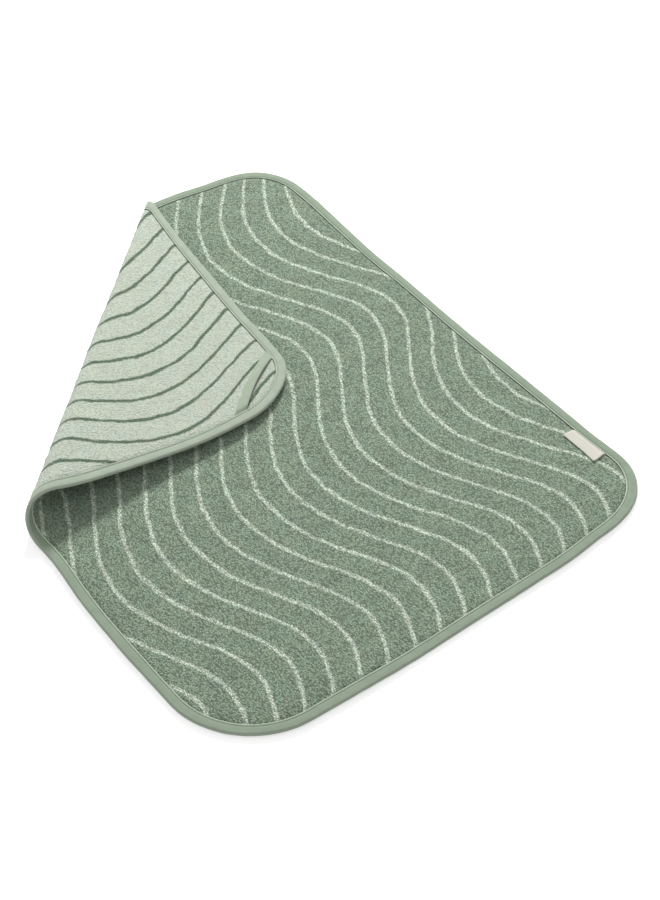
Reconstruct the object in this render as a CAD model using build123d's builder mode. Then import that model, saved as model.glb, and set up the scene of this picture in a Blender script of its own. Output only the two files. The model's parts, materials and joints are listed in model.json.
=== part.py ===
from build123d import *
import math
import os

# A bound terry towel lying on its reverse, with one corner turned over onto its face.
# Origin: centre of the opened towel, on the surface it rests on. X runs across the towel,
# Y along it, and the turned corner is the one at -X, +Y. Millimetres and degrees.

os.makedirs("parts", exist_ok=True)

# Towel
WIDTH = 500.0
LENGTH = 650.0
CORNER_RADIUS = 78.0
CLOTH = 5.0

# Binding: a folded tape that grips the ground cloth, and lies a little below the pile
BINDING_WIDTH = 10.5
BINDING_SINK = 0.4
BINDING_ROUND = 1.9
GROUND_CLOTH = 2.4
GROUND_INSET = 2.0
SLOT_CLEARANCE = 0.1

# Seam thread, laid in the step between the binding's face and the pile
SEAM_INSET = 8.8
THREAD = 0.6

# The turned corner: fold lines fan out from one point beyond the top edge. The curl's folds
# all turn the same way, and the last fold eases the corner back down.
FAN_X = 227.2
FAN_Y = 432.9
FIRST_FOLD_DIRECTION = 223.36
FOLD_STEP = 1.833
CURL_FOLDS = 3
CURL_TURN = 192.6
EASE_DIRECTION = 210.31
EASE_TURN = -10.64
FOLD_GAP = 0.15

# Hanging loop, on the reverse, across the turned corner
LOOP_CENTRE_X = -208.5
LOOP_CENTRE_Y = 283.5
LOOP_DIRECTION = 45.0
LOOP_REACH = 60.0
LOOP_WIDTH = 10.5
LOOP_THICKNESS = 1.6
LOOP_LIFT = 0.8
LOOP_END_GAP = 0.4
LOOP_STITCH_INSET = 1.6

# Woven label, sewn under the binding of the right edge, on the face side
LABEL_Y = -223.5
LABEL_LENGTH = 41.0
LABEL_WIDTH = 14.0
LABEL_THICKNESS = 0.6
LABEL_LIFT = 0.4
LABEL_EDGE_GAP = 0.3

# Cutting shapes only need to be larger than the towel
FAR = 1200.0
NEAR = 100.0


def fold_direction(fold):
    """Direction of a fold line from the fan point, fold 1 being the first."""
    if fold > CURL_FOLDS:
        return EASE_DIRECTION
    return FIRST_FOLD_DIRECTION - (fold - 1) * FOLD_STEP


def fold_turn(fold):
    """How far the cloth turns at a fold, positive towards the face."""
    if fold > CURL_FOLDS:
        return EASE_TURN
    return CURL_TURN / CURL_FOLDS


def fold_point(fold, along, across):
    """A point in the flat pattern, measured along a fold line and across it to the corner."""
    direction = math.radians(fold_direction(fold))
    x = FAN_X + along * math.cos(direction) + across * math.sin(direction)
    y = FAN_Y + along * math.sin(direction) - across * math.cos(direction)
    return x, y


def fold_level(fold):
    """A fold turns about the surface that ends up inside it: the face, or the reverse."""
    return CLOTH if fold_turn(fold) > 0 else 0.0


def folded(place, fold):
    """The place of the cloth beyond a fold, from the place of the cloth before it."""
    line = Pos(FAN_X, FAN_Y, fold_level(fold)) * Rot(0, 0, fold_direction(fold))
    return place * line * Rot(-fold_turn(fold), 0, 0) * line.inverse()


def outline(inset, mode=Mode.ADD):
    """The towel's edge in the flat pattern, drawn in by an inset."""
    RectangleRounded(
        WIDTH - 2 * inset,
        LENGTH - 2 * inset,
        CORNER_RADIUS - inset,
        mode=mode,
    )


def panel(before, after):
    """The flat pattern between two folds. None leaves that side open."""
    if before is None:
        corners = [
            fold_point(after, -FAR, -FOLD_GAP),
            fold_point(after, FAR, -FOLD_GAP),
            fold_point(after, FAR, -FAR),
            fold_point(after, -FAR, -FAR),
        ]
    elif after is None:
        corners = [
            fold_point(before, -FAR, FOLD_GAP),
            fold_point(before, FAR, FOLD_GAP),
            fold_point(before, FAR, FAR),
            fold_point(before, -FAR, FAR),
        ]
    else:
        corners = [
            fold_point(before, NEAR, FOLD_GAP),
            fold_point(before, FAR, FOLD_GAP),
            fold_point(after, FAR, -FOLD_GAP),
            fold_point(after, NEAR, -FOLD_GAP),
        ]
    Polygon(*corners, align=None)


def save(piece, name):
    """Label a finished piece and write its STEP file."""
    piece.part.label = name
    export_step(piece.part, f"parts/{name}.step")


def make_terry(name, place, before, after):
    """Double-faced terry: full pile inside the binding, bare ground cloth under it."""
    with BuildPart() as terry:
        with BuildSketch(place):
            outline(BINDING_WIDTH)
        extrude(amount=CLOTH)
        with BuildSketch(place.offset((CLOTH - GROUND_CLOTH) / 2)):
            outline(GROUND_INSET)
        extrude(amount=GROUND_CLOTH)
        with BuildSketch(place.offset(-CLOTH)):
            panel(before, after)
        extrude(amount=3 * CLOTH, mode=Mode.INTERSECT)
    save(terry, name)


def make_binding(name, place, before, after):
    """The tape folded over the cloth's edge, rounded where it is folded."""
    slot = GROUND_CLOTH + 2 * SLOT_CLEARANCE
    with BuildPart() as binding:
        with BuildSketch(place.offset(BINDING_SINK)):
            outline(0)
            outline(BINDING_WIDTH, Mode.SUBTRACT)
        extrude(amount=CLOTH - 2 * BINDING_SINK)
        flat_faces = binding.faces().sort_by(Axis(place.origin, place.z_dir))
        folded_edges = flat_faces[0].outer_wire().edges() + flat_faces[-1].outer_wire().edges()
        fillet(folded_edges, radius=BINDING_ROUND)
        with BuildSketch(place.offset((CLOTH - slot) / 2)):
            outline(GROUND_INSET - SLOT_CLEARANCE)
            outline(BINDING_WIDTH, Mode.SUBTRACT)
        extrude(amount=slot, mode=Mode.SUBTRACT)
        with BuildSketch(place.offset(-CLOTH)):
            panel(before, after)
        extrude(amount=3 * CLOTH, mode=Mode.INTERSECT)
    save(binding, name)


def make_seam(name, place, before, after):
    """The binding's seam: a needle thread on the face and a bobbin thread on the reverse."""
    with BuildPart() as seam:
        for level in (0.0, CLOTH - BINDING_SINK):
            with BuildSketch(place.offset(level)):
                outline(SEAM_INSET)
                outline(SEAM_INSET + THREAD, Mode.SUBTRACT)
            extrude(amount=BINDING_SINK)
        with BuildSketch(place.offset(-CLOTH)):
            panel(before, after)
        extrude(amount=3 * CLOTH, mode=Mode.INTERSECT)
    save(seam, name)


# Each part of the cloth, with the folds before and after it
CLOTH_PARTS = {
    "main": (None, 1),
    "fold_1": (1, 2),
    "fold_2": (2, 3),
    "flap": (3, 4),
    "corner": (4, None),
}

location = Location()
for part_name, (before, after) in CLOTH_PARTS.items():
    if before is not None:
        location = folded(location, before)
    place = Plane(location)
    make_terry(f"terry_{part_name}", place, before, after)
    make_binding(f"binding_{part_name}", place, before, after)
    make_seam(f"seam_{part_name}", place, before, after)

# The corner is the last part of the cloth, so the hanging loop lies on its place
corner_place = place

# Hanging loop: a flat tape that spans the corner between the binding's inner edges
with BuildPart() as hanging_loop:
    with BuildSketch(corner_place.offset(-LOOP_LIFT)):
        with Locations((LOOP_CENTRE_X, LOOP_CENTRE_Y)):
            Rectangle(2 * LOOP_REACH, LOOP_WIDTH, rotation=LOOP_DIRECTION)
        outline(BINDING_WIDTH + LOOP_END_GAP, Mode.INTERSECT)
    extrude(amount=-LOOP_THICKNESS)
save(hanging_loop, "hanging_loop")

# Edge stitch that closes the folded tape, along the side that faces the towel's middle
with BuildPart() as loop_stitch:
    with BuildSketch(corner_place.offset(-LOOP_LIFT - LOOP_THICKNESS)):
        with Locations(Pos(LOOP_CENTRE_X, LOOP_CENTRE_Y) * Rot(0, 0, LOOP_DIRECTION)):
            with Locations((0, LOOP_STITCH_INSET - LOOP_WIDTH / 2)):
                Rectangle(2 * LOOP_REACH, THREAD)
        outline(BINDING_WIDTH + LOOP_END_GAP, Mode.INTERSECT)
    extrude(amount=-BINDING_SINK)
save(loop_stitch, "loop_stitch")

# Woven label: a blank folded ribbon whose long side is caught under the binding
with BuildPart() as woven_label:
    with BuildSketch(Plane.XY.offset(CLOTH + LABEL_LIFT)):
        sewn_edge = WIDTH / 2 - BINDING_WIDTH - LABEL_EDGE_GAP
        with Locations((sewn_edge, LABEL_Y)):
            Rectangle(LABEL_WIDTH, LABEL_LENGTH, align=(Align.MAX, Align.CENTER))
    extrude(amount=LABEL_THICKNESS)
save(woven_label, "woven_label")
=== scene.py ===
import json
import math

import bmesh
import bpy
import numpy as np
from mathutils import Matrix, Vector
from mathutils.geometry import intersect_line_line


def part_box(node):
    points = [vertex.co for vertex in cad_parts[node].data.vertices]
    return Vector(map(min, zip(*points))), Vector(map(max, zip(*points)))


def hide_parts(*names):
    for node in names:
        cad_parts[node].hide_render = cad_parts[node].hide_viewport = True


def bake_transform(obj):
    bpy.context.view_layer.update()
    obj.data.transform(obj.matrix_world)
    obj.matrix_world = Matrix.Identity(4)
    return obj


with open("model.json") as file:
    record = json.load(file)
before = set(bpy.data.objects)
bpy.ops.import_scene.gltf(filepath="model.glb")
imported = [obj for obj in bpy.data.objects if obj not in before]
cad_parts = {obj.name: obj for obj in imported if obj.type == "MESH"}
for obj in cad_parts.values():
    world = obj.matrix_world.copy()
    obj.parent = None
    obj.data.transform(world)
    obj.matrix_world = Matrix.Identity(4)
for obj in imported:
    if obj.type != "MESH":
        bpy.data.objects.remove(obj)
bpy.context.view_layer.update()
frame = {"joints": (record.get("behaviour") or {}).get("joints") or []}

# Everything is drawn in the flat pattern, in millimetres: X and Y as on the opened towel, and Z
# from the pale reverse at 0 to the green face at CLOTH. fold() then turns the corner over.
MM = 0.001


# ---------------------------------------------------------------- what the frame says

joints = {joint["name"]: joint for joint in frame["joints"]}


def joint_axis(name):
    return Vector(joints[name]["axis"]).normalized()


def joint_place(name):
    return Vector(joints[name]["pos_m"]) / MM


towel_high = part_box("binding_main")[1]
HALF_WIDTH = towel_high.x / MM
HALF_LENGTH = towel_high.y / MM
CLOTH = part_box("terry_main")[1].z / MM
MIDDLE = CLOTH / 2

# The curl's three hinges fan out from one point, and every angle below is counted from the
# first hinge line towards the turned corner.
CURL_HINGES = ("corner_fold_1", "corner_fold_2", "corner_fold_3")
hinge_1, hinge_2, hinge_3 = (joint_axis(name) for name in CURL_HINGES)
place_1, place_2 = joint_place(CURL_HINGES[0]), joint_place(CURL_HINGES[1])
FAN = np.array(intersect_line_line(place_1, place_1 + hinge_1, place_2, place_2 + hinge_2)[0])
FIRST_DIRECTION = math.atan2(hinge_1.y, hinge_1.x)
FOLD_STEP = hinge_1.angle(hinge_2)
FOLD_TURN = Vector((0, 0, 1)).angle(hinge_2.cross(hinge_1))
CURL_TURN = len(CURL_HINGES) * FOLD_TURN
CURL_START = -FOLD_STEP / 2
CURL_END = CURL_START + len(CURL_HINGES) * FOLD_STEP
CURL_RAMP = FOLD_STEP / 2
EASE_AT = 2 * FOLD_STEP + hinge_3.angle(-joint_axis("corner_ease"))
EASE_END = 2 * EASE_AT - CURL_END
EASE_TURN = math.radians(joints["corner_ease"]["range_deg"][1])
LAST_RULING = math.radians(45)
RULING_COUNT = 4000


# ---------------------------------------------------------------- the turned corner

def past_first_fold(points):
    """Angle about the fan point from the first hinge line, positive towards the corner."""
    direction = np.arctan2(points[:, 1] - FAN[1], points[:, 0] - FAN[0])
    return (FIRST_DIRECTION - direction + math.pi) % (2 * math.pi) - math.pi


def curvature(angle):
    """Turn of the cloth per radian about the fan point, positive towards the green face."""
    def ramp(centre):
        return 0.5 - 0.5 * np.cos(math.pi * np.clip((angle - centre) / CURL_RAMP + 0.5, 0, 1))

    curl = CURL_TURN / (CURL_END - CURL_START) * (ramp(CURL_START) - ramp(CURL_END))
    eased = np.clip((angle - CURL_END) / (EASE_END - CURL_END), 0, 1)
    return curl - EASE_TURN * 2 * np.sin(math.pi * eased) ** 2 / (EASE_END - CURL_END)


def rulings():
    """Directions along the cloth's rulings and square to its green face, by angle."""
    angles = np.linspace(CURL_START - CURL_RAMP / 2, LAST_RULING, RULING_COUNT)
    step = angles[1] - angles[0]
    start = FIRST_DIRECTION - angles[0]
    along = np.array([math.cos(start), math.sin(start), 0.0])
    across = np.array([math.sin(start), -math.cos(start), 0.0])
    normal = np.array([0.0, 0.0, 1.0])
    along_rows, normal_rows = [along], [normal]
    for turn in curvature((angles[1:] + angles[:-1]) / 2):
        along, across = along + step * across, across + step * (turn * normal - along)
        along = along / np.linalg.norm(along)
        across = across - (across @ along) * along
        across = across / np.linalg.norm(across)
        normal = np.cross(across, along)
        along_rows.append(along)
        normal_rows.append(normal)
    return angles, np.array(along_rows), np.array(normal_rows)


RULING_ANGLES, RULING_ALONG, RULING_NORMAL = rulings()


def fold(flat):
    """Flat pattern to place at rest: the cloth bends on its green face without stretching."""
    angle = past_first_fold(flat)
    turned = angle > RULING_ANGLES[0]
    along, normal = (
        np.stack([np.interp(angle, RULING_ANGLES, row) for row in rows.T], axis=1)
        for rows in (RULING_ALONG, RULING_NORMAL)
    )
    reach = np.hypot(flat[:, 0] - FAN[0], flat[:, 1] - FAN[1])[:, None]
    depth = (CLOTH - flat[:, 2])[:, None]
    return np.where(turned[:, None], FAN + reach * along - depth * normal, flat)


# ---------------------------------------------------------------- noise and the towel's outline

def smooth(share):
    """Eases a share from 0 to 1, and holds it there beyond."""
    share = np.clip(share, 0, 1)
    return share * share * (3 - 2 * share)


def noise(x, y, grain, seed):
    """Smooth random heights from -1 to 1 on a lattice of the given grain."""
    size = 512
    lattice = np.random.default_rng(seed).uniform(-1, 1, (size, size))
    column, row = np.floor(x / grain), np.floor(y / grain)
    u, v = smooth(x / grain - column), smooth(y / grain - row)
    column, row = column.astype(int) % size, row.astype(int) % size
    near = lattice[row, column] * (1 - u) + lattice[row, (column + 1) % size] * u
    row = (row + 1) % size
    far = lattice[row, column] * (1 - u) + lattice[row, (column + 1) % size] * u
    return near * (1 - v) + far * v


# Corner radii of a sewn edge differ a little: (side of X, side of Y, radius)
CORNERS = ((1, -1, 76.0), (1, 1, 71.0), (-1, 1, 67.0), (-1, -1, 88.0))


def corner_radius(x, y):
    """Radius of the corner that each point is nearest to."""
    radius = np.zeros_like(x)
    for side_x, side_y, size in CORNERS:
        radius[(x * side_x >= 0) & (y * side_y >= 0)] = size
    return radius


def round_corners(x, y):
    """Bends a square grid to the outline: lines near the edge follow its round corners."""
    radius = corner_radius(x, y)
    centre_x, centre_y = HALF_WIDTH - radius, HALF_LENGTH - radius
    u, v = np.abs(x) - centre_x, np.abs(y) - centre_y
    inside = (u > 0) & (v > 0)
    larger, smaller = np.maximum(u, v), np.minimum(u, v)
    swing = math.pi / 4 * smaller / np.maximum(larger, 1e-9)
    swing = np.where(u >= v, swing, math.pi / 2 - swing)
    new_x = np.where(inside, centre_x + larger * np.cos(swing), np.abs(x))
    new_y = np.where(inside, centre_y + larger * np.sin(swing), np.abs(y))
    return np.sign(x) * new_x, np.sign(y) * new_y


def inset_at(x, y):
    """Distance in from the towel's edge."""
    radius = corner_radius(x, y)
    u = np.abs(x) - (HALF_WIDTH - radius)
    v = np.abs(y) - (HALF_LENGTH - radius)
    outside = np.hypot(np.maximum(u, 0), np.maximum(v, 0))
    return radius - outside - np.minimum(np.maximum(u, v), 0)


def edge_walk(step, inset=0.0):
    """Points along the outline at even steps, with outward directions and lengths."""
    points, outward = [], []
    for index, (side_x, side_y, radius) in enumerate(CORNERS):
        centre = np.array([side_x * (HALF_WIDTH - radius), side_y * (HALF_LENGTH - radius)])
        begin = math.radians(-90 + 90 * index)
        for turn in np.linspace(begin, begin + math.pi / 2, 90):
            direction = np.array([math.cos(turn), math.sin(turn)])
            points.append(centre + (radius - inset) * direction)
            outward.append(direction)
    points, outward = np.array(points + points[:1]), np.array(outward + outward[:1])
    length = np.concatenate([[0], np.cumsum(np.linalg.norm(np.diff(points, axis=0), axis=1))])
    at = np.arange(round(length[-1] / step)) * length[-1] / round(length[-1] / step)
    place = np.stack([np.interp(at, length, axis) for axis in points.T], axis=1)
    direction = np.stack([np.interp(at, length, axis) for axis in outward.T], axis=1)
    return place, direction / np.linalg.norm(direction, axis=1)[:, None], at


# Where hands have tugged the soft edge out of true: X, Y, reach, and the shift in X and in Y
TUGS = (
    (190, 322, 42, 0.0, -9.0),
    (250, 232, 50, 3.4, 0.0),
    (250, 110, 40, -1.4, 0.0),
    (250, -40, 90, -2.0, 0.0),
    (250, -270, 40, 3.3, 0.0),
    (185, -322, 45, 0.0, 6.3),
    (-65, -325, 75, 0.0, -2.4),
    (-250, -35, 50, 5.5, 0.0),
    (-235, 300, 70, 14.0, 0.0),
    (-170, 325, 50, 0.0, 3.0),
    (-250, 70, 45, -4.0, 0.0),
    (-250, -170, 90, -2.0, 0.0),
)


def settle(flat):
    """The cloth lies a little uneven: tugged edges, and a slow rise off the rest surface."""
    x, y = flat[:, 0], flat[:, 1]
    settled = flat.copy()
    rise = 1.4 + 0.7 * noise(x, y, 130.0, 11) + 0.35 * noise(x, y, 55.0, 12)
    settled[:, 2] += np.maximum(rise, 0.1)
    for tug_x, tug_y, reach, shift_x, shift_y in TUGS:
        share = np.exp(-((x - tug_x) ** 2 + (y - tug_y) ** 2) / reach ** 2)
        settled[:, 0] += shift_x * share
        settled[:, 1] += shift_y * share
    return settled


# ---------------------------------------------------------------- meshes in the flat pattern

# Each maker returns points, faces and a lay: three numbers a point that the material reads.

PILE_GRAIN = 2.3
PILE_INSETS = (2.2, 6.0, 9.9, 10.3, 10.9, 12.0, 13.6, 15.6)
# Half the cloth's thickness at each inset: bare ground cloth inside the binding, then full pile
GROUND_HALF = 1.15
PILE_RISE = ((9.9, GROUND_HALF), (10.9, 1.2), (12.0, 1.75), (13.6, 2.2), (16.0, MIDDLE - 0.05))


def grid_lines(half):
    """Grid lines from edge to edge, closer together at the binding."""
    inner = half - PILE_INSETS[-1] - PILE_GRAIN
    middle = np.linspace(-inner, inner, 2 * round(inner / PILE_GRAIN))
    border = half - np.array(PILE_INSETS)
    return np.concatenate([-border, middle, border[::-1]])


def strip_quads(first, second):
    """Quads between two closed rings of vertex numbers."""
    return np.stack([first, np.roll(first, -1), np.roll(second, -1), second], axis=1)


def make_pile():
    """Both faces of the terry, with every tuft a little different. Its lay is (inset, 0, 0)."""
    columns, rows = grid_lines(HALF_WIDTH), grid_lines(HALF_LENGTH)
    x, y = (grid.ravel() for grid in np.meshgrid(columns, rows))
    x, y = round_corners(x, y)
    inset = inset_at(x, y)
    half_thickness = np.interp(inset, *zip(*PILE_RISE))
    fade = smooth((inset - PILE_RISE[0][0]) / 4)
    across, along = len(columns), len(rows)
    layers = []
    number = np.arange(across * along).reshape(along, across)
    ring = np.concatenate([number[0, :-1], number[:-1, -1], number[-1, :0:-1], number[:0:-1, 0]])
    quads = np.stack(
        [number[:-1, :-1], number[:-1, 1:], number[1:, 1:], number[1:, :-1]], axis=-1
    ).reshape(-1, 4)
    for side, seed in ((1, 21), (-1, 31)):
        tufts = np.random.default_rng(seed).uniform(-1, 1, len(x))
        pile = 0.30 * tufts + 0.30 * noise(x, y, 5.0, seed + 1) + 0.25 * noise(x, y, 13.0, seed + 2)
        z = MIDDLE + side * (half_thickness + fade * pile)
        layers.append(np.stack([x, y, z], axis=1))
    faces = [quads, quads[:, ::-1] + across * along]
    faces.append(strip_quads(ring + across * along, ring))
    lay = np.zeros((2 * len(x), 3))
    lay[:, 0] = np.tile(inset, 2)
    return np.concatenate(layers), np.concatenate(faces), lay


TAPE_WIDTH = 10.5
TAPE_HALF = 2.05
TAPE_STEP = 1.4
SEAM_INSET = 8.75
SEAM_DEPTH = 0.75
SEAM_SPREAD = 0.45
TAPE_CROWN = 0.25
TAPE_LIP = 0.30
NOSE = 1.9
SLOT_HALF = 1.3


def tape_profile():
    """The tape's closed outline across the edge, as (inset, height from the middle)."""
    nose = NOSE * (1 - np.cos(np.linspace(0, math.pi / 2, 7)))[1:]
    flat_part = np.array([3.2, 4.6, 6.0, 7.2, 7.9, 8.3, 8.55, 8.75, 8.95, 9.2, 9.6, 10.0, 10.3])
    inset = np.concatenate([nose, flat_part])
    rounding = np.sqrt(np.clip(1 - (1 - np.minimum(inset / NOSE, 1)) ** 2, 0, 1))
    crown = TAPE_CROWN * np.sin(math.pi * np.clip(inset / SEAM_INSET, 0, 1))
    groove = SEAM_DEPTH * np.exp(-((inset - SEAM_INSET) / SEAM_SPREAD) ** 2)
    lip = TAPE_LIP * smooth((inset - SEAM_INSET) / 0.9)
    height = rounding * (TAPE_HALF + crown - groove + lip)
    top = np.stack([inset, height], axis=1)
    edge = np.array([[10.46, 2.1], [TAPE_WIDTH, 1.75], [10.42, 1.4], [10.2, SLOT_HALF]])
    slot = np.array([[6.0, SLOT_HALF], [2.1, SLOT_HALF], [1.6, 0.7]])
    upper = np.concatenate([top, edge, slot])
    lower = upper[::-1] * (1, -1)
    return np.concatenate([[[0.0, 0.0]], upper, [[1.5, 0.0]], lower])


def make_tape():
    """The binding: a closed tube of tape that puckers at the corners.

    Its lay is (length along the edge, inset, side of the cloth).
    """
    place, outward, length = edge_walk(TAPE_STEP)
    profile = tape_profile()
    around, steps = len(profile), len(place)
    walk, inset = np.repeat(length, around), np.tile(profile[:, 0], steps)
    height = np.tile(profile[:, 1], steps)
    radius = corner_radius(place[:, 0], place[:, 1])
    in_corner = np.minimum(
        np.abs(place[:, 0]) - HALF_WIDTH + radius, np.abs(place[:, 1]) - HALF_LENGTH + radius
    )
    in_corner = np.repeat(smooth(in_corner / 12), around)
    side = np.sign(height)
    body = smooth(inset / 3) * smooth((SEAM_INSET - inset) / 2.5)
    pucker = (0.10 + 0.16 * in_corner) * noise(walk, 40 * side, 5.5, 41) * body
    swell = 0.10 * noise(walk, 40 * side, 23.0, 42) * body
    height = height + side * (pucker + swell) * (np.abs(height) > 1.4)
    sway = 0.28 * noise(walk, 0 * walk, 38.0, 43) + 0.12 * noise(walk, 0 * walk, 9.0, 44)
    shifted = inset + sway * (1 - smooth((inset - 1) / 6))
    x, y = (
        np.repeat(place[:, i], around) - np.repeat(outward[:, i], around) * shifted for i in (0, 1)
    )
    number = np.arange(around * steps).reshape(steps, around)
    following = np.roll(number, -1, axis=0)
    quads = np.stack(
        [number, np.roll(number, -1, axis=1), np.roll(following, -1, axis=1), following], axis=-1
    )
    lay = np.stack([walk, inset, side], axis=1)
    return np.stack([x, y, MIDDLE + height], axis=1), quads.reshape(-1, 4), lay


STITCH_PITCH = 2.6
STITCH_LENGTH = 2.1
STITCH_RADIUS = 0.26
STITCH_RINGS = 7
STITCH_SIDES = 6


def stitch_shape():
    """One stitch along X: a thread that rises out of the tape and dips back in."""
    stations = np.linspace(-0.5, 0.5, STITCH_RINGS)
    turns = np.arange(STITCH_SIDES) * 2 * math.pi / STITCH_SIDES
    rings = []
    for station in stations:
        lift = 0.24 - 1.6 * station ** 2
        radius = STITCH_RADIUS * (1.0 if abs(station) < 0.45 else 0.55)
        rings.append([
            (station * STITCH_LENGTH, radius * math.cos(turn), lift + radius * math.sin(turn))
            for turn in turns
        ])
    number = np.arange(STITCH_RINGS * STITCH_SIDES).reshape(STITCH_RINGS, STITCH_SIDES)
    faces = [strip_quads(*number[row:row + 2])[:, ::-1] for row in range(STITCH_RINGS - 1)]
    first, last = number[0], number[-1, ::-1]
    ends = [[first[[0, 1, 2, 3]], first[[0, 3, 4, 5]]], [last[[2, 3, 4, 5]], last[[0, 1, 2, 5]]]]
    return np.array(rings).reshape(-1, 3), np.concatenate(faces + ends)


def make_stitches():
    """The seam's stitches on both faces, and the centre of the stitch that each point is in.

    Their lay is (0, 0, side of the cloth).
    """
    place, outward = edge_walk(STITCH_PITCH, SEAM_INSET)[:2]
    shape, shape_faces = stitch_shape()
    along = np.stack([-outward[:, 1], outward[:, 0]], axis=1)
    seam_level = TAPE_HALF + 0.1 - SEAM_DEPTH
    points, faces, centres = [], [], []
    for side in (1, -1):
        flat = (
            place[:, None]
            + along[:, None] * shape[None, :, :1]
            + side * outward[:, None] * shape[None, :, 1:2]
        )
        level = MIDDLE + side * (seam_level + shape[:, 2])
        level = np.broadcast_to(level, (len(place), len(shape)))
        points.append(np.concatenate([flat, level[:, :, None]], axis=2).reshape(-1, 3))
        first = len(faces) * len(place) * len(shape)
        numbers = shape_faces[None] + len(shape) * np.arange(len(place))[:, None, None] + first
        faces.append(numbers.reshape(-1, 4))
        centres.append(np.repeat(place, len(shape), axis=0))
    centres = np.concatenate(centres)
    lay = np.zeros((len(centres), 3))
    lay[:, 2] = np.repeat([1.0, -1.0], len(centres) // 2)
    return np.concatenate(points), np.concatenate(faces), lay, centres


# ---------------------------------------------------------------- from flat meshes to pieces

# The cloth is cut along rulings into strips, each between two bodies at one hinge
CUTS = [CURL_START + FOLD_STEP * count for count in (1, 2, 3)]
# By strip: its name, its two bodies, the rulings where its bend begins and ends, and its CAD parts
STRIPS = (
    ("main", "towel", "fold_1", CURL_START, CUTS[0], ("main", "fold_1")),
    ("curl_1", "fold_1", "fold_2", CUTS[0], CUTS[1], ("fold_2",)),
    ("curl_2", "fold_2", "flap", CUTS[1], CUTS[2], ("flap",)),
    ("flap", "flap", "corner", CUTS[2], 2 * EASE_AT - CUTS[2], ("corner",)),
)
# By strip: its hinge, the ruling the hinge lies on, how wide the bend stays round once it is
# opened, and how far past its two bodies the cloth may turn
OPENING = (
    ("corner_fold_1", 0.0, 0.4 * FOLD_STEP, 0.0),
    ("corner_fold_2", FOLD_STEP, 0.4 * FOLD_STEP, 0.0),
    ("corner_fold_3", 2 * FOLD_STEP, 0.4 * FOLD_STEP, 0.0),
    ("corner_ease", EASE_AT, math.radians(9), 0.35),
)
# How many rulings in a row share out a change in the bend
OPENING_EVEN = 25


def opening_shares():
    """By strip, how far each ruling follows the second body so that the cloth opens out flat."""
    up = np.array([0.0, 0.0, 1.0])
    rows = []
    for name, hinge_at, width, spare in OPENING:
        axis = np.array(joint_axis(name))
        full = math.radians(joints[name]["range_deg"][1])
        level, lift = RULING_ALONG @ up, np.cross(axis, RULING_ALONG) @ up
        near_first = np.arctan(-level / np.where(np.abs(lift) < 1e-12, 1e-12, lift))
        near_second = full + (near_first - full + math.pi / 2) % math.pi - math.pi / 2
        limits = -spare * full, (1 + spare) * full
        past = smooth((RULING_ANGLES - hinge_at) / width + 0.5)
        turn = np.clip(near_first, *limits) * (1 - past) + np.clip(near_second, *limits) * past
        even = np.ones(OPENING_EVEN) / OPENING_EVEN
        turn = np.convolve(np.pad(turn, OPENING_EVEN // 2, mode="edge"), even, mode="valid")
        rows.append(turn / full)
        swing = np.cross(axis, up)
        up = up * math.cos(full) - swing * math.sin(full) + axis * (axis @ up) * (1 - math.cos(full))
    return rows


OPENING_SHARES = opening_shares()


def new_mesh(name, points, faces):
    mesh = bpy.data.meshes.new(name)
    mesh.from_pydata(points.tolist(), [], [list(face) for face in faces])
    return mesh


def store(mesh, name, values):
    """Gives each point of a mesh three numbers, for its material to read."""
    attribute = mesh.attributes.new(name, "FLOAT_VECTOR", "POINT")
    attribute.data.foreach_set("vector", values.astype(np.float32).ravel())


def read(items, name, width):
    """One property of many items, as rows of numbers."""
    values = np.zeros(len(items) * width, np.float32)
    items.foreach_get(name, values)
    return values.reshape(-1, width).astype(float)


def cut_along_rulings(points, faces, lay):
    """Splits the faces that a cut crosses, so that every piece ends exactly on its ruling."""
    mesh = new_mesh("uncut", points, faces.tolist())
    store(mesh, "lay", lay)
    solid = bmesh.new()
    solid.from_mesh(mesh)
    for cut in CUTS:
        direction = FIRST_DIRECTION - cut
        bmesh.ops.bisect_plane(
            solid,
            geom=solid.verts[:] + solid.edges[:] + solid.faces[:],
            dist=1e-5,
            plane_co=FAN.tolist(),
            plane_no=(math.sin(direction), -math.cos(direction), 0),
        )
    solid.to_mesh(mesh)
    solid.free()
    points = read(mesh.vertices, "co", 3)
    lay = read(mesh.attributes["lay"].data, "vector", 3)
    faces = [tuple(polygon.vertices) for polygon in mesh.polygons]
    bpy.data.meshes.remove(mesh)
    return points, faces, lay


def close_cuts(mesh):
    """Caps the open ends: the caps come last among the mesh's faces."""
    solid = bmesh.new()
    solid.from_mesh(mesh)
    open_edges = [edge for edge in solid.edges if edge.is_boundary]
    if open_edges:
        caps = bmesh.ops.edgeloop_fill(solid, edges=open_edges)["faces"]
        bmesh.ops.triangulate(solid, faces=caps)
    solid.to_mesh(mesh)
    solid.free()


def add_piece(name, mesh, material):
    mesh.materials.append(material)
    piece = bpy.data.objects.new(name, mesh)
    bpy.context.scene.collection.objects.link(piece)
    return piece


def set_blend(piece, bodies, share, start, end):
    """Bakes the piece's placement into its mesh."""
    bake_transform(piece)


def hinge_points(begin, end):
    """Places at rest on the rulings where a bend begins and ends, halfway along the curl."""
    reach = 400.0
    rays = FIRST_DIRECTION - np.array([begin, end])
    flat = np.stack([FAN[0] + reach * np.cos(rays), FAN[1] + reach * np.sin(rays)], axis=1)
    return fold(np.concatenate([flat, np.full((2, 1), CLOTH)], axis=1))


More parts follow.
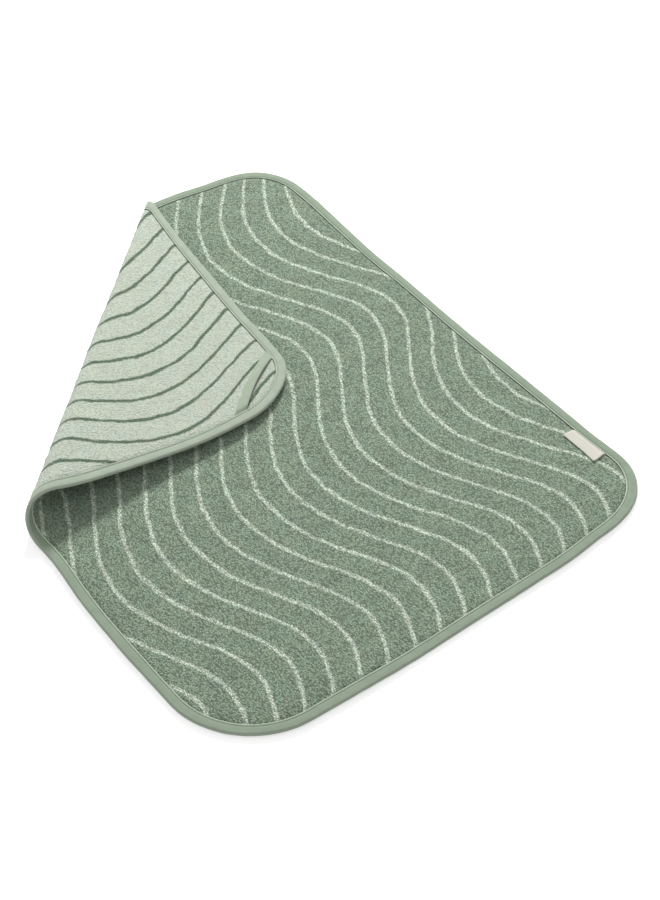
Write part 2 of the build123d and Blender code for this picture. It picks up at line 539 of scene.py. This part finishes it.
def keep_normals(mesh, cloth_faces, normals):
    """Shades the cloth as before it was cut, so that no cut shows, and the caps flat."""
    vertex_of = np.zeros(len(mesh.loops), np.int32)
    mesh.loops.foreach_get("vertex_index", vertex_of)
    corner_normals = normals[vertex_of]
    for polygon in mesh.polygons[cloth_faces:]:
        corners = slice(polygon.loop_start, polygon.loop_start + polygon.loop_total)
        corner_normals[corners] = polygon.normal
    mesh.normals_split_custom_set(corner_normals.tolist())


def add_cloth(kind, node_kind, slot, material, flat, faces, lay, sort_by=None):
    """Folds a flat mesh and shares it out over the strips, one piece each.

    Where faces must stay together, as in a stitch, sort_by gives their points one common place.
    """
    uncut = new_mesh("whole", fold(settle(flat)) * MM, faces)
    normals = read(uncut.vertex_normals, "vector", 3)
    placed = read(uncut.vertices, "co", 3)
    bpy.data.meshes.remove(uncut)
    anchor = flat if sort_by is None else sort_by
    angle = past_first_fold(anchor)
    middle = np.array([angle[list(face)].mean() for face in faces])
    strip_of = np.searchsorted(CUTS, middle)
    for number, (strip, first, second, begin, end, parts) in enumerate(STRIPS):
        chosen = [faces[index] for index in np.flatnonzero(strip_of == number)]
        used = np.unique(np.concatenate([np.array(face) for face in chosen]))
        renumber = np.zeros(len(flat), int)
        renumber[used] = np.arange(len(used))
        mesh = new_mesh(f"{kind}_{strip}", placed[used], [renumber[list(face)] for face in chosen])
        close_cuts(mesh)
        store(mesh, "flat", flat[used])
        store(mesh, "lay", lay[used])
        mesh.polygons.foreach_set("use_smooth", np.ones(len(mesh.polygons), bool))
        keep_normals(mesh, len(chosen), normals[used])
        piece = add_piece(f"{kind}_{strip}", mesh, material)
        share = np.interp(angle[used], RULING_ANGLES, OPENING_SHARES[number])
        start, finish = hinge_points(begin, end)
        set_blend(piece, (first, second), share, start, finish)
        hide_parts(*[f"{node_kind}_{part}" for part in parts])


def add_bent(name, rest, flat, faces, lay, material, bodies, share, hinge, node):
    """Adds a piece at its place of rest, and hides the CAD part that it stands for."""
    mesh = new_mesh(name, rest * MM, faces)
    store(mesh, "flat", flat)
    store(mesh, "lay", lay)
    mesh.polygons.foreach_set("use_smooth", np.ones(len(mesh.polygons), bool))
    piece = add_piece(name, mesh, material)
    set_blend(piece, bodies, share, *hinge)
    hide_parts(node)


# ---------------------------------------------------------------- hanging loop and label

LOOP_HALF_WIDTH = 5.25
LOOP_THICKNESS = 1.5
LOOP_INSET = 41.5
LOOP_MIDDLE = np.array([LOOP_INSET - HALF_WIDTH, HALF_LENGTH - LOOP_INSET])
LOOP_ALONG = np.array([1.0, 1.0]) / math.sqrt(2)
LOOP_TO_TIP = np.array([-1.0, 1.0]) / math.sqrt(2)
LOOP_HALF_SPAN = 45.4
LOOP_FREE_HALF = 44.0
LOOP_BEND = 20.0
LOOP_RINGS = 70
LOOP_SEAM = 3.4
LOOP_SEWN_HALF = 37.0


def band_outline(half_width, thickness, corners):
    """A flat band's rounded cross-section, as (across, outward)."""
    radius = thickness / 2
    rim = np.linspace(-math.pi / 2, math.pi / 2, corners)
    flat_part = np.linspace(-1, 1, 12)[1:-1] * (half_width - radius)
    right = np.stack([half_width - radius + radius * np.cos(rim), radius * np.sin(rim)], axis=1)
    top = np.stack([flat_part[::-1], np.full(len(flat_part), radius)], axis=1)
    return np.concatenate([right, top, -right, -top])


def tube(rings, around):
    """Faces of a closed tube with capped ends."""
    number = np.arange(rings * around).reshape(rings, around)
    quads = np.concatenate([
        strip_quads(number[row], number[row + 1]) for row in range(rings - 1)
    ])
    return [tuple(quad) for quad in quads] + [tuple(number[0][::-1]), tuple(number[-1])]


def loop_surface(station, across, outward):
    """A point of the hanging loop: it bows off the cloth and dips under the binding."""
    half_span = LOOP_HALF_SPAN - across
    along = station * half_span
    flat = LOOP_MIDDLE + along[:, None] * LOOP_ALONG + across[:, None] * LOOP_TO_TIP
    inset = inset_at(flat[:, 0], flat[:, 1])
    free = smooth((inset - TAPE_WIDTH + 0.5) / 4)
    bow = np.clip(1 - (along / LOOP_FREE_HALF) ** 2, 0, 1)
    tilt = (across + LOOP_HALF_WIDTH) / (2 * LOOP_HALF_WIDTH)
    gap = 0.25 + bow * (0.5 + 2.2 * tilt)
    squeeze = 0.35 + 0.65 * free
    level = -free * (gap + LOOP_THICKNESS / 2) + (1 - free) * 0.85 - outward * squeeze
    return np.concatenate([flat, level[:, None]], axis=1)


def make_loop():
    """The hanging loop, a flat band of tape. Its lay is (along, across, outward)."""
    section = band_outline(LOOP_HALF_WIDTH, LOOP_THICKNESS, 5)
    station = np.repeat(np.linspace(-1, 1, LOOP_RINGS), len(section))
    across, outward = np.tile(section, (LOOP_RINGS, 1)).T
    crease = 0.22 * np.exp(-((across - LOOP_SEAM) / 0.4) ** 2) * (outward > 0)
    flat = loop_surface(station, across, outward - crease)
    lay = np.stack([station * LOOP_FREE_HALF, across, outward], axis=1)
    return flat, tube(LOOP_RINGS, len(section)), station, lay


def loop_share(station):
    """Each point's share along the loop: 1 in its middle, falling to 0 at its ends by the corner."""
    return smooth((1 - np.abs(station)) * LOOP_HALF_SPAN / LOOP_BEND)


def make_loop_stitches():
    """The edge stitching that closes the loop's folded tape."""
    shape, shape_faces = stitch_shape()
    count = round(2 * LOOP_SEWN_HALF / STITCH_PITCH)
    centres = np.linspace(-LOOP_SEWN_HALF, LOOP_SEWN_HALF, count)
    along = (centres[:, None] + shape[None, :, 0]).ravel()
    across = np.tile(LOOP_SEAM + shape[:, 1], count)
    outward = np.tile(LOOP_THICKNESS / 2 - 0.2 + shape[:, 2], count)
    station = along / (LOOP_HALF_SPAN - across)
    flat = loop_surface(station, across, outward)
    faces = (shape_faces[None] + len(shape) * np.arange(count)[:, None, None]).reshape(-1, 4)
    lay = np.stack([along, across, 0 * along - 1], axis=1)
    return flat, [tuple(face) for face in faces.tolist()], station, lay


label_low, label_high = (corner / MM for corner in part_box("woven_label"))
LABEL_Y = label_low.y, label_high.y
LABEL_FREE_X = label_low.x
LABEL_SEWN_X = label_high.x
LABEL_MIDDLE_Y = sum(LABEL_Y) / 2
LABEL_CURL_REACH = 20.0
LABEL_RINGS = 28
LABEL_SKEW = (1.6, 2.4)
RIBBON = 0.3
LABEL_BEND = 3.5


def label_path():
    """The folded ribbon across its length, as (X, Z) from the seam out and back again."""
    sewn_x = LABEL_SEWN_X + np.array([0.9, -0.2, -1.3, -3.0])
    out_x = np.concatenate([sewn_x, np.linspace(LABEL_SEWN_X - 5.0, LABEL_FREE_X + 0.6, 5)])
    dip = smooth((out_x - LABEL_SEWN_X + 3.2) / 3.4)
    below = np.stack([out_x, 5.55 - 1.75 * dip], axis=1)
    above = np.stack([out_x, 6.05 - 1.85 * dip], axis=1)
    turn = np.linspace(-math.pi / 2, -3 * math.pi / 2, 7)[1:-1]
    bend = np.stack([LABEL_FREE_X + 0.3 + 0.26 * np.cos(turn), 5.8 + 0.25 * np.sin(turn)], axis=1)
    return np.concatenate([below, bend, above[::-1]])


def make_label():
    """A blank woven ribbon, folded double. Its lay is (Y, length along the ribbon, 0)."""
    path = label_path()
    direction = np.gradient(path, axis=0)
    direction = direction / np.linalg.norm(direction, axis=1)[:, None]
    square = np.stack([-direction[:, 1], direction[:, 0]], axis=1) * RIBBON / 2
    section = np.concatenate([path + square, (path - square)[::-1]])
    run = np.concatenate([[0], np.cumsum(np.linalg.norm(np.diff(path, axis=0), axis=1))])
    run = np.concatenate([run, run[::-1]])
    y = np.repeat(np.linspace(*LABEL_Y, LABEL_RINGS), len(section))
    x, z = np.tile(section, (LABEL_RINGS, 1)).T
    free = smooth((LABEL_SEWN_X - x) / 9)
    from_middle = (LABEL_MIDDLE_Y - y) / LABEL_CURL_REACH
    z = z + 0.55 * free * from_middle ** 2 + 0.25 * free * noise(y, 0 * y, 13, 51)
    near = smooth(from_middle)
    x = x - LABEL_SKEW[0] * near * free
    y = y - LABEL_SKEW[1] * near * free
    lay = np.stack([y, np.tile(run, LABEL_RINGS), 0 * y], axis=1)
    return np.stack([x, y, z], axis=1), tube(LABEL_RINGS, len(section)), lay


# ---------------------------------------------------------------- materials

class Graph:
    """A material's node tree, built from values and sockets."""

    def __init__(self, name):
        self.material = bpy.data.materials.new(name)
        self.material.use_nodes = True
        self.tree = self.material.node_tree
        self.surface = self.tree.nodes["Principled BSDF"]

    def put(self, socket, value):
        if isinstance(value, bpy.types.NodeSocket):
            self.tree.links.new(value, socket)
        else:
            socket.default_value = value

    def node(self, kind, inputs=(), output=0, **settings):
        node = self.tree.nodes.new("ShaderNode" + kind)
        for name, value in settings.items():
            setattr(node, name, value)
        pairs = inputs.items() if isinstance(inputs, dict) else enumerate(inputs)
        for key, value in pairs:
            self.put(node.inputs[key], value)
        return node.outputs[output]

    def math(self, operation, *values):
        return self.node("Math", values, operation=operation)

    def vector(self, operation, *values):
        return self.node("VectorMath", values, operation=operation)

    def ramp(self, value, low, high, out_low=0.0, out_high=1.0):
        inputs = (value, low, high, out_low, out_high)
        return self.node("MapRange", inputs, interpolation_type="SMOOTHSTEP")

    def mix(self, share, first, second, blend="MIX"):
        node = self.tree.nodes.new("ShaderNodeMix")
        node.data_type, node.blend_type = "RGBA", blend
        self.put(node.inputs["Factor"], share)
        self.put(node.inputs[6], first)
        self.put(node.inputs[7], second)
        return node.outputs[2]

    def tinted(self, colour, red, green, blue):
        return self.mix(1.0, colour, self.node("CombineXYZ", (red, green, blue)), "MULTIPLY")

    def attribute(self, name):
        return self.node("Attribute", output=1, attribute_name=name)

    def split(self, vector):
        node = self.tree.nodes.new("ShaderNodeSeparateXYZ")
        self.put(node.inputs[0], vector)
        return node.outputs

    def noise(self, vector, scale, detail=2.0):
        return self.node("TexNoise", {"Vector": vector, "Scale": scale, "Detail": detail})

    def tufts(self, vector, scale):
        return self.node("TexVoronoi", {"Vector": vector, "Scale": scale})

    def bump(self, height, distance, strength=1.0):
        inputs = {"Height": height, "Distance": distance * MM, "Strength": strength}
        return self.node("Bump", inputs)

    def finish(self, colour, roughness, normal, sheen=0.0):
        self.put(self.surface.inputs["Base Color"], colour)
        self.put(self.surface.inputs["Roughness"], roughness)
        self.put(self.surface.inputs["Normal"], normal)
        self.put(self.surface.inputs["Sheen Weight"], sheen)
        self.put(self.surface.inputs["Sheen Roughness"], 0.6)
        self.put(self.surface.inputs["Specular IOR Level"], 0.15)
        return self.material


def srgb(red, green, blue):
    """A colour given in 0 to 255, as Blender's linear values."""
    values = np.array([red, green, blue]) / 255
    return (*np.where(values > 0.04045, ((values + 0.055) / 1.055) ** 2.4, values / 12.92), 1.0)


# The jacquard's lines are long waves in Y, one line every LINE_SPACING in X. Slant and bow move
# their middle line; gain, lean and twist change the wave a little from one side to the other, and
# skew and peak give it its shape.
LINE_SPACING = 28.43
LINE_START = 8.8
LINE_SLANT = 0.0536
LINE_BOW = 4.25 / HALF_LENGTH ** 2
WAVE_SWING = 28.87
WAVE_GAIN = 4.28 / HALF_WIDTH
WAVE_LENGTH = 308.2
WAVE_CREST = -264.5
WAVE_LEAN = 0.0043
WAVE_TWIST = -0.000114
WAVE_SKEW = -0.6
WAVE_PEAK = 1.94


def off_line(graph, x, y, spot):
    """Distance from the nearest drawn line, which wavers a little."""
    lean = graph.math("MULTIPLY_ADD", y, WAVE_TWIST, WAVE_LEAN)
    crest = graph.math("MULTIPLY_ADD", x, lean, graph.math("SUBTRACT", y, WAVE_CREST))
    turn = graph.math("MULTIPLY", crest, 2 * math.pi / WAVE_LENGTH)
    double = graph.math("MULTIPLY", turn, 2.0)
    swing = graph.math("MULTIPLY_ADD", x, WAVE_GAIN, WAVE_SWING)
    wave = graph.math("MULTIPLY_ADD", graph.math("COSINE", turn), swing, LINE_START)
    wave = graph.math("MULTIPLY_ADD", graph.math("SINE", double), WAVE_SKEW, wave)
    wave = graph.math("MULTIPLY_ADD", graph.math("COSINE", double), WAVE_PEAK, wave)
    wave = graph.math("MULTIPLY_ADD", y, LINE_SLANT, wave)
    wave = graph.math("MULTIPLY_ADD", graph.math("MULTIPLY", y, y), LINE_BOW, wave)
    beside = graph.math("SUBTRACT", x, wave)
    for scale, reach in ((0.04, 5.0), (0.16, 1.6), (0.9, 3.4)):
        drift = graph.math("SUBTRACT", graph.noise(spot, scale, 1.0), 0.5)
        beside = graph.math("MULTIPLY_ADD", drift, reach, beside)
    place = graph.math("DIVIDE", beside, LINE_SPACING)
    off = graph.math("ABSOLUTE", graph.math("SUBTRACT", place, graph.math("ROUND", place)))
    return graph.math("MULTIPLY", off, LINE_SPACING)


def terry_material():
    """Terry with waves drawn in the other face's colour, painted shade at the rim of each loop of pile,
    and painted shade beside the binding.
    """
    graph = Graph("jacquard_terry")
    flat = graph.attribute("flat")
    x, y, z = graph.split(flat)
    face = graph.math("GREATER_THAN", z, MIDDLE)
    side_shift = graph.node("CombineXYZ", (graph.math("MULTIPLY", face, 900.0), 0.0, 0.0))
    spot = graph.vector("MULTIPLY", graph.vector("ADD", flat, side_shift), (1.0, 1.0, 0.0))

    line = graph.ramp(off_line(graph, x, y, spot), 1.2, 2.9, 1.0, 0.0)
    ground = graph.mix(face, srgb(210, 220, 203), srgb(149, 169, 145))
    drawn = graph.mix(face, srgb(100, 122, 97), srgb(216, 230, 210))
    colour = graph.mix(line, ground, drawn)

    rows = graph.vector("MULTIPLY", spot, (0.75, 0.45, 0.0))
    loops = graph.tufts(rows, 1.0)
    fluff = graph.noise(spot, 0.8, 4.0)
    streak = graph.noise(graph.vector("MULTIPLY", spot, (0.9, 0.09, 0.0)), 1.0)
    patch = graph.noise(spot, 0.035, 3.0)
    tint = graph.noise(graph.vector("ADD", spot, (0.0, 2000.0, 0.0)), 0.05)
    # Painted shade: each loop of pile is lighter in its middle and darker at its rim, where the loops
    # meet
    shade = graph.ramp(loops, 0.12, 0.80, 1.27, 0.53)
    for value, low, high in ((fluff, 0.66, 1.31), (streak, 0.90, 1.09), (patch, 0.94, 1.055)):
        shade = graph.math("MULTIPLY", shade, graph.ramp(value, 0.32, 0.68, low, high))
    calm = graph.math("POWER", shade, 0.32)
    shade = graph.mix(face, calm, shade)
    inset = graph.split(graph.attribute("lay"))[0]
    # Painted shade in the pile right beside the binding's lip, where the lip stands over it
    shade = graph.math("MULTIPLY", shade, graph.ramp(inset, 10.4, 12.2, 0.62, 1.0))
    tint = graph.ramp(tint, 0.35, 0.65, -0.018, 0.018)
    shades = [graph.math("MULTIPLY_ADD", shade, graph.math("MULTIPLY", tint, share), shade)
              for share in (1.0, -0.2, -1.0)]
    colour = graph.tinted(colour, *shades)

    height = graph.math("MULTIPLY_ADD", loops, -0.9, fluff)
    return graph.finish(colour, 0.95, graph.bump(height, 1.0, 1.0), sheen=0.2)


def bias_weave(graph, along, across, side):
    """Threads that cross at 45 degrees to the tape's edge."""
    crossed = (graph.math("ADD", along, across), graph.math("SUBTRACT", along, across), side)
    weave = graph.vector("MULTIPLY", graph.node("CombineXYZ", crossed), (2.6, 1.1, 1.0))
    return graph.noise(weave, 1.0, 2.0)


def tape_material():
    """The binding, a little greyer at its outer edge, with a painted highlight on its lip inside the
    seam and painted shade on the lip's inner wall.
    """
    graph = Graph("bias_tape")
    lay = graph.attribute("lay")
    along, inset, side = graph.split(lay)
    threads = bias_weave(graph, along, inset, side)
    patch = graph.noise(lay, 0.09, 3.0)
    turned = graph.ramp(side, -0.2, 0.2, 1.0, 0.0)
    # Painted highlight: the lip inside the seam is coloured lighter, as a lit edge
    lip = graph.ramp(inset, SEAM_INSET + 0.1, SEAM_INSET + 0.6)
    body = graph.mix(turned, srgb(150, 166, 145), srgb(172, 185, 166))
    body = graph.mix(graph.ramp(inset, 0.8, 3.6, 0.30, 0.0), body, srgb(178, 184, 172))
    lip_highlight = graph.mix(turned, srgb(200, 214, 194), srgb(190, 201, 183))
    colour = graph.mix(lip, body, lip_highlight)
    shade = graph.ramp(threads, 0.3, 0.7, 0.94, 1.05)
    shade = graph.math("MULTIPLY", shade, graph.ramp(patch, 0.3, 0.7, 0.955, 1.035))
    # Painted shade on the lip's inner wall, where it drops to the terry
    shade = graph.math("MULTIPLY", shade, graph.ramp(inset, 10.32, 10.44, 1.0, 0.5))
    colour = graph.tinted(colour, shade, shade, shade)
    return graph.finish(colour, 0.8, graph.bump(threads, 0.12, 0.7), sheen=0.15)


def loop_material():
    """The hanging loop's tape, with painted shade towards its stitched edge, which stands off the
    cloth.
    """
    graph = Graph("loop_band")
    lay = graph.attribute("lay")
    along, across, outward = graph.split(lay)
    threads = bias_weave(graph, along, across, outward)
    patch = graph.noise(lay, 0.12, 3.0)
    shade = graph.ramp(threads, 0.3, 0.7, 0.94, 1.05)
    shade = graph.math("MULTIPLY", shade, graph.ramp(patch, 0.3, 0.7, 0.95, 1.04))
    # Painted shade towards the stitched edge, which is lifted off the cloth
    shade = graph.math("MULTIPLY", shade, graph.ramp(across, 3.6, 5.25, 1.0, 0.9))
    colour = graph.tinted(srgb(168, 182, 161), shade, shade, shade)
    return graph.finish(colour, 0.8, graph.bump(threads, 0.12, 0.7), sheen=0.15)


def thread_material():
    """Twisted thread in the colour of the tape on its side of the cloth."""
    graph = Graph("sewing_thread")
    twist = graph.noise(graph.vector("MULTIPLY", graph.attribute("flat"), (3.0, 3.0, 9.0)), 1.0)
    side = graph.split(graph.attribute("lay"))[2]
    turned = graph.ramp(side, -0.2, 0.2, 1.0, 0.0)
    shade = graph.ramp(twist, 0.3, 0.7, 0.0, 1.0)
    green = graph.mix(shade, srgb(138, 158, 134), srgb(164, 182, 160))
    pale = graph.mix(shade, srgb(176, 187, 170), srgb(198, 207, 191))
    return graph.finish(graph.mix(turned, green, pale), 0.6, graph.bump(twist, 0.1, 0.6), sheen=0.1)


def label_material():
    """Cream ribbon with crossing ribs and picks."""
    graph = Graph("label_weave")
    y, run = graph.split(graph.attribute("lay"))[:2]
    ribs = graph.math("SINE", graph.math("MULTIPLY", y, 9.0))
    picks = graph.math("SINE", graph.math("MULTIPLY", run, 7.0))
    weave = graph.math("MULTIPLY", ribs, picks)
    slub = graph.noise(graph.node("CombineXYZ", (y, graph.math("MULTIPLY", run, 4.0), 0.0)), 0.5)
    colour = graph.mix(graph.ramp(weave, -1.0, 1.0), srgb(216, 213, 200), srgb(236, 233, 221))
    colour = graph.mix(graph.ramp(slub, 0.45, 0.75, 0.0, 0.35), colour, srgb(204, 200, 188))
    return graph.finish(colour, 0.75, graph.bump(weave, 0.12, 0.6), sheen=0.1)


# The floor's own light, which only the camera sees
FLOOR_GLOW = 0.5


def floor_material():
    """A plain pale floor."""
    graph = Graph("studio_floor")
    grain = graph.noise(graph.node("TexCoord", output=3), 40.0)
    shade = graph.ramp(grain, 0.0, 1.0, 0.94, 0.96)
    seen = graph.node("LightPath", output=0)
    graph.put(graph.surface.inputs["Emission Color"], (1.0, 1.0, 1.0, 1.0))
    graph.put(graph.surface.inputs["Emission Strength"], graph.math("MULTIPLY", seen, FLOOR_GLOW))
    return graph.finish(graph.node("CombineXYZ", (shade, shade, shade)), 1.0, graph.bump(grain, 0.02))


# ---------------------------------------------------------------- build the towel

terry = terry_material()
tape = tape_material()
loop_band = loop_material()
thread = thread_material()

add_cloth("pile", "terry", "terry", terry, *cut_along_rulings(*make_pile()))
add_cloth("tape", "binding", "binding", tape, *cut_along_rulings(*make_tape()))
stitch_points, stitch_faces, stitch_lay, stitch_centres = make_stitches()
stitch_faces = [tuple(face) for face in stitch_faces.tolist()]
add_cloth("stitches", "seam", "thread", thread, stitch_points, stitch_faces, stitch_lay, stitch_centres)

loop_flat, loop_faces, loop_station, loop_lay = make_loop()
loop_rest = fold(settle(loop_flat))
loop_hinge = loop_rest[0], loop_rest[len(loop_rest) // 2]
add_bent("loop_tape", loop_rest, loop_flat, loop_faces, loop_lay, loop_band,
         ("corner", "loop"), loop_share(loop_station), loop_hinge, "hanging_loop")

edge_flat, edge_faces, edge_station, edge_lay = make_loop_stitches()
add_bent("loop_stitches", fold(settle(edge_flat)), edge_flat, edge_faces, edge_lay, thread,
         ("corner", "loop"), loop_share(edge_station), loop_hinge, "loop_stitch")

label_flat, label_faces, label_lay = make_label()
label_rest = settle(label_flat)
label_share = smooth((LABEL_SEWN_X - label_flat[:, 0]) / LABEL_BEND)
seam_point = np.array([LABEL_SEWN_X, LABEL_MIDDLE_Y, CLOTH])
label_hinge = seam_point, seam_point - (LABEL_BEND, 0, 0)
add_bent("ribbon_label", label_rest, label_flat, label_faces, label_lay, label_material(),
         ("towel", "label"), label_share, label_hinge, "woven_label")

# ---------------------------------------------------------------- floor, light and camera

bpy.ops.mesh.primitive_plane_add(size=8.0)
floor = bpy.context.object
floor.name = "studio_floor"
floor.data.materials.append(floor_material())


def aim(thing, place, target):
    """Stands a light or the camera at a place, facing the target."""
    thing.location = place
    thing.rotation_euler = (Vector(target) - Vector(place)).to_track_quat("-Z", "Y").to_euler()


def area_light(name, place, size, power):
    lamp = bpy.data.lights.new(name, "AREA")
    lamp.size = size
    lamp.energy = power
    light = bpy.data.objects.new(name, lamp)
    bpy.context.scene.collection.objects.link(light)
    aim(light, place, (0, 0, 0))


area_light("key", (1.7, 1.9, 2.1), 0.7, 95)
area_light("fill", (-1.8, -1.2, 2.4), 2.5, 14)

# The world lights the towel softly, and looks white to the camera, as the floor does
WORLD_LIGHT = 0.40
world = bpy.data.worlds.new("studio")
bpy.context.scene.world = world
world.use_nodes = True
backdrop = world.node_tree.nodes["Background"]
seen = world.node_tree.nodes.new("ShaderNodeLightPath")
strength = world.node_tree.nodes.new("ShaderNodeMath")
strength.operation = "MULTIPLY_ADD"
strength.inputs[1].default_value = 1 - WORLD_LIGHT
strength.inputs[2].default_value = WORLD_LIGHT
world.node_tree.links.new(seen.outputs["Is Camera Ray"], strength.inputs[0])
world.node_tree.links.new(strength.outputs["Value"], backdrop.inputs["Strength"])
backdrop.inputs["Color"].default_value = (1, 1, 1, 1)
bpy.context.scene.view_settings.view_transform = "Standard"

CAMERA_AZIMUTH = math.radians(-37.34)
CAMERA_ELEVATION = math.radians(45.63)
CAMERA_DISTANCE = 1.992
CAMERA_TARGET = Vector((0.0414, -0.0786, 0.0))
camera = bpy.data.objects.new("camera", bpy.data.cameras.new("camera"))
camera.data.lens = 84.1
camera.data.sensor_width = 36.0
bpy.context.scene.collection.objects.link(camera)
back = Vector((
    math.sin(CAMERA_AZIMUTH) * math.cos(CAMERA_ELEVATION),
    -math.cos(CAMERA_AZIMUTH) * math.cos(CAMERA_ELEVATION),
    math.sin(CAMERA_ELEVATION),
))
aim(camera, CAMERA_TARGET + CAMERA_DISTANCE * back, CAMERA_TARGET)
bpy.context.scene.camera = camera
